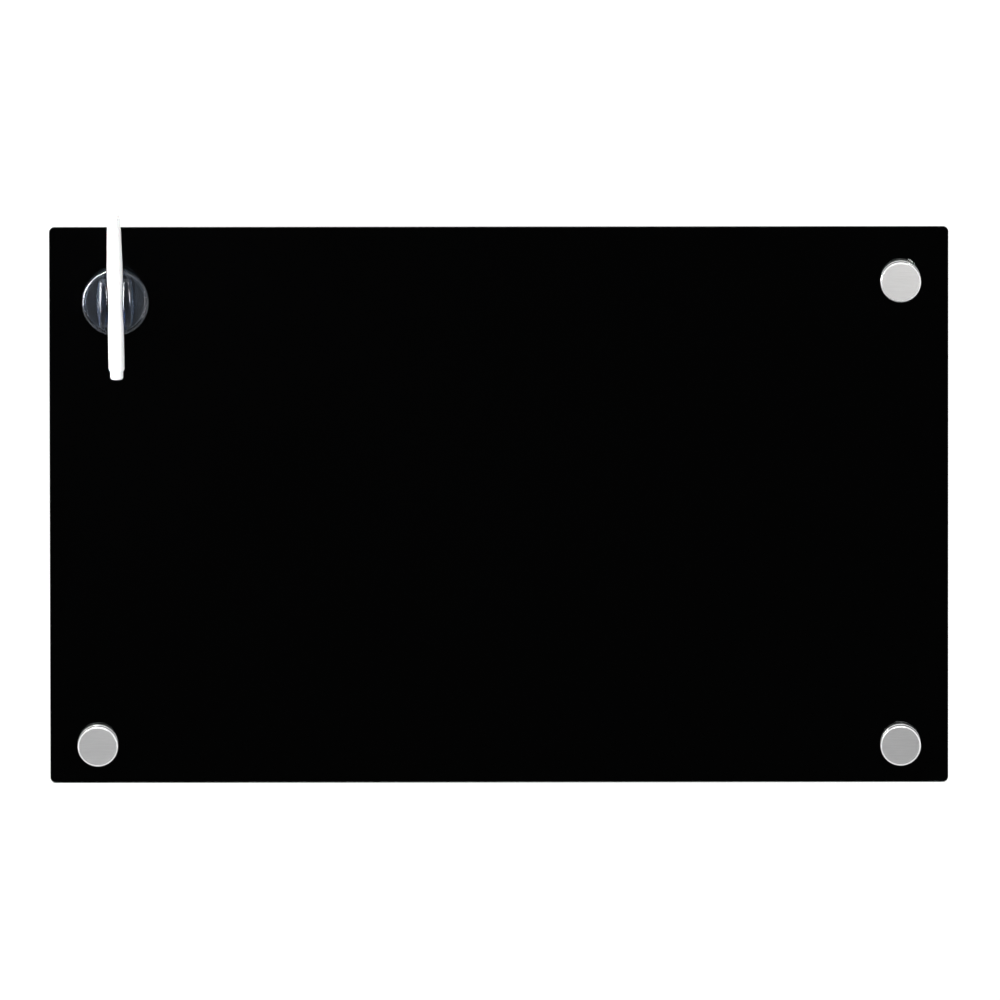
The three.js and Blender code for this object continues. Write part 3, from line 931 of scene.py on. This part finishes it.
def thread_ridge(sizes, height):
    """A helical ridge round world Z from zero up: one pitch of it, swept by the screw modifier and closed."""
    crest = sizes.shank_radius
    root = crest - sizes.thread_depth
    pitch = sizes.thread_pitch
    piece = draw_line([Vector((root, 0, 0)), Vector((crest, 0, pitch / 2)), Vector((root, 0, pitch))])
    apply_modifier(
        piece,
        "SCREW",
        axis="Z",
        angle=math.tau,
        screw_offset=pitch,
        iterations=math.ceil(height / pitch),
        steps=sizes.facets,
        render_steps=sizes.facets,
        use_merge_vertices=True,
        merge_threshold=SAME_POINT,
    )
    take_up(piece)
    edit_all()
    bpy.ops.mesh.remove_doubles(threshold=SAME_POINT)
    bpy.ops.mesh.fill_holes(sides=0)
    tidy_faces(piece)
    return piece


class GLASSBOARD_OT_fixings(bpy.types.Operator):
    """Make the threaded wall screws and the ribbed, split plugs"""

    bl_idname = "glass_board.fixings"
    bl_label = "Screws and plugs"

    def execute(self, context):
        sizes = context.scene.glass_board_fixing
        self.make_screws(sizes, zinc_plate("plated_screw", context.scene.glass_board_standoff))
        self.make_plugs(sizes)
        return {"FINISHED"}

    def make_screws(self, sizes, zinc):
        tip, height, head_radius = turned_node(f"{FIRST}_wall_screw")
        radius = sizes.shank_radius
        root = radius - sizes.thread_depth
        pitch = sizes.thread_pitch
        shank_end = height - sizes.head_height
        thread_end = shank_end - sizes.plain_shank
        shank = [(0, 0), (radius, sizes.tip_length), (radius, thread_end), (0, thread_end)]
        screw = turned("screw", shank, Vector(), UP, sizes.facets)
        # The ridge runs on past both ends of the thread, one pitch below and two above.
        ridge = thread_ridge(sizes, thread_end + 3 * pitch)
        ridge.location.z = -pitch
        combine(screw, ridge, "INTERSECT")
        head_foot = thread_end - pitch / 2
        profile = [
            (0, head_foot),
            (root, head_foot),
            (root, thread_end),
            (radius, thread_end + sizes.thread_depth),
            (radius, shank_end),
            (head_radius, shank_end),
            (head_radius, height),
            (0, height),
        ]
        head = turned("head", profile, Vector(), UP, sizes.facets)
        soften_edges(head, sizes.head_rounding, segments=3)
        across, along = sizes.socket_width, 2 * sizes.socket_reach
        for size in ((across, along), (along, across)):
            combine(head, block((*size, 2 * sizes.socket_depth), UP * height), "DIFFERENCE")
        combine(screw, head, "UNION")
        tidy_faces(screw)
        shade(screw)
        lay_along(screw, OUTWARD, tip)
        set_out(screw, "threaded_screw", "wall_screw", zinc)

    def make_plugs(self, sizes):
        foot, height, radius = turned_node(f"{FIRST}_wall_plug")
        bore = sizes.shank_radius + sizes.bore_clearance
        low = radius - sizes.rib_depth
        pitch = sizes.rib_pitch
        profile = [(bore, 0), (radius - sizes.taper, 0), (low, sizes.taper_length)]
        for rib in range(int((height - sizes.taper_length - sizes.lip) / pitch)):
            start = sizes.taper_length + rib * pitch
            profile.append((radius, start + pitch * sizes.rib_crest))
            profile.append((low, start + pitch * sizes.rib_foot))
            profile.append((low, start + pitch))
        profile += [(radius, height - sizes.lip), (radius, height), (bore, height), (bore, 0)]
        plug = turned("plug", profile, Vector(), UP, sizes.facets)
        slot = block((sizes.slot_width, 4 * radius, 2 * sizes.slot_length), Vector((0, 2 * radius, 0)))
        combine(plug, slot, "DIFFERENCE")
        shade(plug)
        lay_along(plug, OUTWARD, foot)
        set_out(plug, "ribbed_plug", "wall_plug", grey_nylon(sizes))


class GLASSBOARD_OT_bumper(bpy.types.Operator):
    """Make the rubber bumper behind the corner that has no cap"""

    bl_idname = "glass_board.bumper"
    bl_label = "Corner bumper"

    def execute(self, context):
        sizes = context.scene.glass_board_fixing
        rubber = black_rubber()
        foot, height, radius = turned_node("corner_bumper")
        shoulder = height - sizes.bumper_rounding
        profile = [(0, 0), (radius - sizes.bumper_foot, 0), (radius, shoulder), (radius, height), (0, height)]
        bumper = turned("rubber_bumper", profile, foot, OUTWARD, DISC_FACETS)
        soften_edges(bumper, sizes.bumper_rounding, segments=4)
        finish_piece(bumper, "board", "corner_bumper", rubber)
        pad = plain_disc("bumper_pad", "corner_bumper_pad", SLIGHT_BREAK)
        finish_piece(pad, "board", "corner_bumper_pad", rubber)
        return {"FINISHED"}


# Clear clip, magnet and grip pad


def holder_height(node):
    """How far a node of the holder reaches from the glass, at its back and at its front."""
    return reach(node, OUTWARD, HOLDER_CENTRE)


def marker_height():
    """How high the marker's axis lies above the glass."""
    return sum(holder_height("marker_barrel")) / 2


def swelling_jaw(sizes, side, axis_height):
    """One jaw: a long bow spun round its own axis with rounded ends, squashed to its width and rise."""
    steps = sizes.jaw_steps
    flank_end = sizes.jaw_half_length - sizes.jaw_end
    flank_loss = 1 - sizes.jaw_flank_share ** 2
    upper = []
    for step in range(steps + 1):
        share = step / steps
        upper.append((math.sqrt(1 - flank_loss * share ** 2), flank_end * share))
    for step in range(1, steps + 1):
        turn = step / steps * math.pi / 2
        share = sizes.jaw_flank_share * max(math.cos(turn), 0.0) ** sizes.jaw_fullness
        upper.append((share, flank_end + sizes.jaw_end * math.sin(turn)))
    lower = [(share, -height) for share, height in reversed(upper[1:])]
    profile = [(share * sizes.jaw_half_width, height) for share, height in lower + upper]
    jaw = turned("jaw", profile, Vector(), UP, DISC_FACETS)
    centre = OUTWARD * (axis_height - sizes.jaw_below_axis) + Vector((side * sizes.jaw_offset, 0, 0))
    squash = Matrix.Diagonal((1, sizes.jaw_rise / sizes.jaw_half_width, 1, 1))
    place_by(jaw, Matrix.Translation(centre) @ squash)
    return jaw


class GLASSBOARD_OT_clip(bpy.types.Operator):
    """Make the clear clip with its trough, magnet boss and two swelling jaws"""

    bl_idname = "glass_board.clip"
    bl_label = "Clear clip"

    def execute(self, context):
        sizes = context.scene.glass_board_clip
        self.measure(sizes)
        clip = self.make_disc(sizes)
        self.add_boss(clip, sizes)
        self.add_jaws(clip, sizes)
        self.cut_to_fit(clip, sizes)
        self.coat_clip(clip, sizes)
        place_by(clip, Matrix.Translation(HOLDER_CENTRE) @ HOLDER_LEAN)
        finish_piece(clip, "clip", "holder_clip")
        magnet = plain_disc("nickel_magnet", "holder_magnet", sizes.magnet_chamfer, 3)
        finish_piece(magnet, "magnet", "holder_magnet", nickel_plate())
        pad = plain_disc("soft_grip_pad", "holder_grip_pad", SLIGHT_BREAK)
        finish_piece(pad, "magnet", "holder_grip_pad", black_rubber())
        return {"FINISHED"}

    def measure(self, sizes):
        """Takes the sizes that the clip shares with the marker and the magnet, as heights above the glass
        and as radii."""
        self.back = holder_height("holder_clip")[0]
        self.radius = radius_round("holder_clip", OUTWARD, HOLDER_CENTRE)
        self.inside = self.radius - sizes.side_wall
        self.face = sizes.rim_height - sizes.face_sink
        self.face_back = self.face - sizes.face_wall
        self.axis_height = marker_height()
        self.axis_point = OUTWARD * self.axis_height
        marker_radius = radius_round("marker_barrel", MARKER_AXIS, HOLDER_CENTRE + self.axis_point)
        self.channel = marker_radius + sizes.marker_clearance
        self.pocket = radius_round("holder_magnet", OUTWARD, HOLDER_CENTRE) + sizes.magnet_clearance

    def make_disc(self, sizes):
        """The hollow disc with its raised rim, and the trough under the marker."""
        radius, rim = self.radius, sizes.rim_height
        front = [
            (radius, self.back),
            (radius, rim - sizes.rim_chamfer),
            (radius - sizes.rim_chamfer, rim),
            (radius - sizes.rim_width, rim),
            (radius - sizes.rim_width - sizes.face_sink, self.face),
            (0, self.face),
        ]
        hollow = [(0, self.face_back), (self.inside, self.face_back), (self.inside, self.back)]
        clip = turned("clear_clip", [*hollow, *front], Vector(), OUTWARD, sizes.facets)
        soften_edges(clip, sizes.edge_break, segments=3)
        outside = turned("outside", [(0, self.back), *front], Vector(), OUTWARD, sizes.facets)
        trough = rod(self.channel + sizes.trough_wall, self.axis_point, UP, radius)
        combine(trough, outside, "INTERSECT")
        combine(clip, trough, "UNION")
        return clip

    def add_boss(self, clip, sizes):
        radius = self.pocket + sizes.trough_wall
        profile = [(0, self.back), (radius, self.back), (radius, self.axis_height), (0, self.axis_height)]
        combine(clip, turned("boss", profile, Vector(), OUTWARD, DISC_FACETS), "UNION")

    def add_jaws(self, clip, sizes):
        for side in (-1, 1):
            jaw = swelling_jaw(sizes, side, self.axis_height)
            below = block((4 * self.radius, 2 * self.face_back, 4 * self.radius), Vector())
            combine(jaw, below, "DIFFERENCE")
            combine(clip, jaw, "UNION")

    def cut_to_fit(self, clip, sizes):
        """Cuts the channel for the marker and the pocket for the magnet."""
        combine(clip, rod(self.channel, self.axis_point, UP, 2 * self.radius), "DIFFERENCE")
        pocket_depth = holder_height("holder_magnet")[1] + sizes.magnet_clearance
        combine(clip, rod(self.pocket, Vector(), OUTWARD, pocket_depth), "DIFFERENCE")
        tidy_faces(clip)
        shade(clip, 32)

    def coat_clip(self, clip, sizes):
        def finish_of(face):
            height = OUTWARD.dot(face.center)
            from_middle = (face.center - OUTWARD * height).length
            from_marker = math.hypot(face.center.x, height - self.axis_height)
            below_face = height < self.face_back + SAME_SURFACE
            within_wall = from_middle < self.inside + SAME_SURFACE
            return 1 if below_face and within_wall and from_marker > self.channel + SAME_SURFACE else 0

        polished = clear_moulding("clear_moulding", sizes, sizes.outer_roughness)
        matt = clear_moulding("matt_hollow", sizes, sizes.hollow_roughness)
        coat(clip, finish_of, polished, matt)


# Marker


class GLASSBOARD_OT_marker(bpy.types.Operator):
    """Make the marker: barrel, end plug, reservoir, nib and its holder, cap and the cap's plug"""

    bl_idname = "glass_board.marker"
    bl_label = "Marker"

    def execute(self, context):
        sizes = self.sizes = context.scene.glass_board_marker
        self.foot = HOLDER_CENTRE + OUTWARD * marker_height()
        self.foot += MARKER_AXIS * reach("marker_end_plug", MARKER_AXIS, self.foot)[0]
        self.white = white_moulding(sizes)
        radius = self.radius("marker_barrel")
        bore = radius - sizes.wall
        neck_bore = sizes.neck_radius - sizes.neck_wall
        low, neck_end = self.span("marker_barrel")
        mouth = self.span("marker_cap")[0]
        shoulder = mouth - sizes.seam
        bore_front = mouth - sizes.seat_gap - sizes.wall
        self.make_end_plug(bore, low)
        profile = [
            (bore, low),
            (sizes.end_radius, low),
            (radius, low + sizes.end_taper),
            (radius, shoulder),
            (sizes.neck_radius, shoulder),
            (sizes.neck_radius, neck_end),
            (neck_bore, neck_end),
            (neck_bore, bore_front),
            (bore, bore_front),
            (bore, low),
        ]
        self.make("white_barrel", profile, "marker_barrel")
        self.make_nib_holder(neck_bore, bore_front, neck_end)
        self.make_inks()
        self.make_cap(radius)
        return {"FINISHED"}

    def span(self, node):
        return reach(node, MARKER_AXIS, self.foot)

    def radius(self, node):
        return radius_round(node, MARKER_AXIS, self.foot)

    def make(self, name, profile, node, body="marker", slot="white_plastic", material=None, rounding=None):
        piece = turned(name, profile, self.foot, MARKER_AXIS, self.sizes.facets)
        soften_edges(piece, rounding or self.sizes.edge_break, segments=3)
        finish_piece(piece, body, node, material or self.white)

    def make_end_plug(self, bore, barrel_low):
        sizes = self.sizes
        radius = self.radius("marker_end_plug")
        spigot_end = self.span("marker_end_plug")[1]
        plug_top = barrel_low - sizes.seam
        spigot = bore - sizes.seat_gap
        rounding = sizes.plug_rounding
        profile = [(0, 0)]
        for step in range(sizes.plug_steps + 1):
            turn = step / sizes.plug_steps * math.pi / 2
            out, up = math.sin(turn), 1 - math.cos(turn)
            profile.append((radius - rounding + rounding * out, rounding * up))
        profile += [
            (radius, plug_top),
            (spigot, plug_top),
            (spigot, spigot_end - sizes.collar),
            (spigot - sizes.collar, spigot_end),
            (0, spigot_end),
        ]
        self.make("white_end_plug", profile, "marker_end_plug", rounding=sizes.edge_break / 2)

    def make_nib_holder(self, neck_bore, bore_front, neck_end):
        sizes = self.sizes
        bore = self.radius("marker_nib") + sizes.nib_clearance
        shank = neck_bore - sizes.nib_clearance
        flange = self.radius("marker_nib_holder")
        flange_back = neck_end + sizes.seat_gap
        flange_front = flange_back + sizes.flange
        cone_end = self.span("marker_nib_holder")[1]
        profile = [
            (bore, bore_front),
            (shank, bore_front),
            (shank, flange_back),
            (flange, flange_back),
            (flange, flange_front),
            (shank, flange_front),
            (bore + sizes.nib_wall, cone_end),
            (bore, cone_end),
            (bore, bore_front),
        ]
        self.make("white_nib_holder", profile, "marker_nib_holder", rounding=sizes.edge_break / 2)

    def make_inks(self):
        """The two pieces that hold the ink: the nib and the reservoir."""
        sizes = self.sizes
        low, high = self.span("marker_nib")
        radius = self.radius("marker_nib")
        point = high - sizes.nib_tip_length * sizes.nib_point_share
        nib = [
            (0, low),
            (radius, low),
            (radius, high - sizes.nib_tip_length),
            (sizes.nib_tip_radius, point),
            (0, high),
        ]
        self.make("felt_nib", nib, "marker_nib", slot="ink_fibre", material=ink_felt("felt_nib"))
        low, high = self.span("marker_reservoir")
        radius = self.radius("marker_reservoir")
        rod_profile = [(0, low), (radius, low), (radius, high), (0, high)]
        felt = ink_felt("felt_reservoir")
        self.make("felt_reservoir", rod_profile, "marker_reservoir", slot="ink_fibre", material=felt)

    def make_cap(self, radius):
        sizes = self.sizes
        mouth, cap_top = self.span("marker_cap")
        tip = sizes.cap_tip_radius
        tip_bore = tip - 2 * sizes.cap_wall
        mouth_bore = radius - sizes.cap_wall - sizes.seat_gap
        cap = [(mouth_bore, mouth), (radius, mouth), (tip, cap_top), (tip_bore, cap_top), (mouth_bore, mouth)]
        self.make("white_cap", cap, "marker_cap", "marker_cap")
        spigot_end, top = self.span("marker_cap_plug")
        base = cap_top + sizes.seam
        spigot = tip_bore - sizes.seat_gap
        inside = spigot - sizes.cap_spigot_wall
        plug = [
            (0, base),
            (inside, base),
            (inside, spigot_end),
            (spigot - sizes.cap_collar, spigot_end),
            (spigot, spigot_end + sizes.cap_collar),
            (spigot, base),
            (sizes.cap_plug_radius, base),
            (sizes.cap_plug_radius, top - sizes.cap_plug_rounding),
            (sizes.cap_plug_radius - sizes.cap_plug_rounding, top),
            (0, top),
        ]
        self.make("white_cap_plug", plug, "marker_cap_plug", "marker_cap")


# Stage


# What the lamps face
BOARD_AIM = (0, 0, 0)
HOLDER_AIM = (-0.34, 0.0, 0.18)
CAP_AIM = (0.3575, -0.03, 0.2)

# The angle of a lamp without a grid
NO_GRID = 180

# Each lamp's name, where it starts and ends, its width, what it faces and its radiance, and for some the
# angle of the grid and the colour
LAMPS = (
    ("strip_left", (-0.645, -0.443, 0.115), (-0.89, -0.17, 0.33), 0.28, HOLDER_AIM, 32.0, 50),
    ("strip_right", (0.42, -1.28, 0.36), (0.72, -1.05, 0.02), 0.26, HOLDER_AIM, 26.0, 44),
    ("strip_side", (-0.675, -0.033, 0.11), (-0.593, -0.066, 0.392), 0.014, HOLDER_AIM, 32.0, 100),
    ("strip_top", (-0.593, -0.066, 0.392), (-0.33, -0.08, 0.512), 0.014, HOLDER_AIM, 32.0, 100),
    ("cap_lamp", (0.47, -1.07, 0.33), (0.71, -1.07, 0.33), 0.2, CAP_AIM, 22.0, 48, (1, 0.97, 0.93)),
    ("lamp_left", (-1.9, -1.6, 1.2), (-0.9, -2.3, 1.2), 1.2, BOARD_AIM, 1.5),
    ("lamp_top", (-0.9, -0.9, 2.0), (1.1, -0.9, 2.0), 0.8, BOARD_AIM, 2.1),
    ("lamp_front", (-0.6, -2.6, 1.3), (1.0, -2.6, 1.3), 0.9, BOARD_AIM, 3.3),
)


def softbox(name, start, end, width, target, radiance, grid=NO_GRID, tint=(1, 1, 1)):
    """A soft lamp that runs from one place to another and faces its target, under a grid that keeps its light
    within an angle in degrees. The camera doesn't see it."""
    start, end = Vector(start), Vector(end)
    centre = (start + end) / 2
    along = (end - start).normalized()
    back = centre - Vector(target)
    back = (back - along * along.dot(back)).normalized()
    data = bpy.data.lights.new(name, "AREA")
    data.shape = "RECTANGLE"
    data.size, data.size_y = (end - start).length, width
    data.energy = radiance * math.pi * data.size * width
    data.color = tint
    if grid < NO_GRID:
        # Blender makes a lamp with a grid brighter straight ahead, so its power drops by as much.
        half = math.radians(grid / 2)
        data.spread = 2 * half
        data.energy *= 1 - half / math.tan(half)
    lamp = bpy.data.objects.new(name, data)
    bpy.context.scene.collection.objects.link(lamp)
    turn = Matrix((along, back.cross(along), back)).transposed()
    lamp.matrix_world = Matrix.Translation(centre) @ turn.to_4x4()
    lamp.visible_camera = False


class GLASSBOARD_OT_stage(bpy.types.Operator):
    """Set the camera, the soft lamps, the white surroundings and the pale floor"""

    bl_idname = "glass_board.stage"
    bl_label = "Stage"

    def execute(self, context):
        stage = context.scene.glass_board_stage
        self.set_camera(context, stage)
        self.light_surroundings(context, stage)
        self.lay_floor(stage)
        for lamp in LAMPS:
            softbox(*lamp)
        context.scene.view_settings.view_transform = "Standard"
        return {"FINISHED"}

    def set_camera(self, context, stage):
        data = bpy.data.cameras.new("camera")
        data.lens = data.sensor_width * stage.distance / stage.view_width
        data.clip_end = 2 * stage.distance
        camera = bpy.data.objects.new("camera", data)
        context.scene.collection.objects.link(camera)
        flat = math.cos(stage.elevation)
        across, ahead = math.sin(stage.azimuth) * flat, math.cos(stage.azimuth) * flat
        back = Vector((across, -ahead, math.sin(stage.elevation)))
        camera.location = middle("glass_panel") + Vector(stage.aim) + back * stage.distance
        turn = (-back).to_track_quat("-Z", "Y").to_matrix().to_4x4() @ Matrix.Rotation(stage.roll, 4, "Z")
        camera.rotation_euler = turn.to_euler()
        context.scene.camera = camera

    def light_surroundings(self, context, stage):
        """White to the camera, white behind the board and dark in front of it for everything else."""
        world = context.scene.world = bpy.data.worlds.new("surroundings")
        world.use_nodes = True
        nodes = Nodes(world.node_tree)
        way = nodes.add("ShaderNodeTexCoord").outputs["Generated"]
        way_back = nodes.add("ShaderNodeSeparateXYZ", Vector=way).outputs["Y"]
        behind = nodes.spread(way_back, stage.darkest, stage.whitest, stage.dark_until, stage.white_from)
        seen = nodes.add("ShaderNodeMath")
        seen.operation = "MAXIMUM"
        nodes.feed(seen.inputs[0], nodes.add("ShaderNodeLightPath").outputs["Is Camera Ray"])
        nodes.feed(seen.inputs[1], behind)
        shader = world.node_tree.nodes["Background"]
        nodes.feed(shader.inputs["Strength"], seen.outputs["Value"])
        nodes.feed(shader.inputs["Color"], (1, 1, 1, 1))

    def lay_floor(self, stage):
        """A pale round floor that fades out towards its edge."""
        deselect_everything()
        bpy.ops.mesh.primitive_circle_add(
            vertices=DISC_FACETS,
            radius=stage.floor_radius,
            fill_type="NGON",
            location=(0, 0, CAD_LOW.z - stage.floor_drop),
        )
        floor = name_piece(settle(), "floor")
        finish = Finish("pale_floor", colour=stage.floor_colour, roughness=stage.floor_roughness)
        away = finish.add("ShaderNodeVectorMath")
        away.operation = "LENGTH"
        finish.feed(away.inputs[0], finish.place())
        fade = finish.spread(away.outputs["Value"], 1.0, 0.0, stage.floor_solid, stage.floor_radius)
        finish.put("alpha", fade)
        paint(floor, finish.material)


OPERATORS = (
    GLASSBOARD_OT_stage,
    GLASSBOARD_OT_panel,
    GLASSBOARD_OT_caps,
    GLASSBOARD_OT_barrels,
    GLASSBOARD_OT_fixings,
    GLASSBOARD_OT_bumper,
    GLASSBOARD_OT_clip,
    GLASSBOARD_OT_marker,
)


class GLASSBOARD_PT_sidebar(bpy.types.Panel):
    """Lists the board's pieces and their sizes"""

    bl_idname = "GLASSBOARD_PT_sidebar"
    bl_label = "Magnetic glass board"
    bl_space_type = "VIEW_3D"
    bl_region_type = "UI"
    bl_category = "Glass board"

    def draw(self, context):
        for operator in OPERATORS:
            self.layout.operator(operator.bl_idname)
        for name, group in GROUPS.items():
            box = self.layout.box()
            for setting in group.__annotations__:
                label = setting.replace("_", " ").capitalize()
                box.prop(getattr(context.scene, name), setting, text=label)


def register():
    for group in GROUPS.values():
        bpy.utils.register_class(group)
    for name, group in GROUPS.items():
        setattr(bpy.types.Scene, name, bpy.props.PointerProperty(type=group))
    for operator in OPERATORS:
        bpy.utils.register_class(operator)
    bpy.utils.register_class(GLASSBOARD_PT_sidebar)


def unregister():
    bpy.utils.unregister_class(GLASSBOARD_PT_sidebar)
    for operator in reversed(OPERATORS):
        bpy.utils.unregister_class(operator)
    for name in GROUPS:
        delattr(bpy.types.Scene, name)
    for group in GROUPS.values():
        bpy.utils.unregister_class(group)


def main():
    register()
    bpy.ops.glass_board.stage()
    bpy.ops.glass_board.panel()
    bpy.ops.glass_board.caps()
    bpy.ops.glass_board.barrels()
    bpy.ops.glass_board.fixings()
    bpy.ops.glass_board.bumper()
    bpy.ops.glass_board.clip()
    bpy.ops.glass_board.marker()


if __name__ == "__main__":
    main()
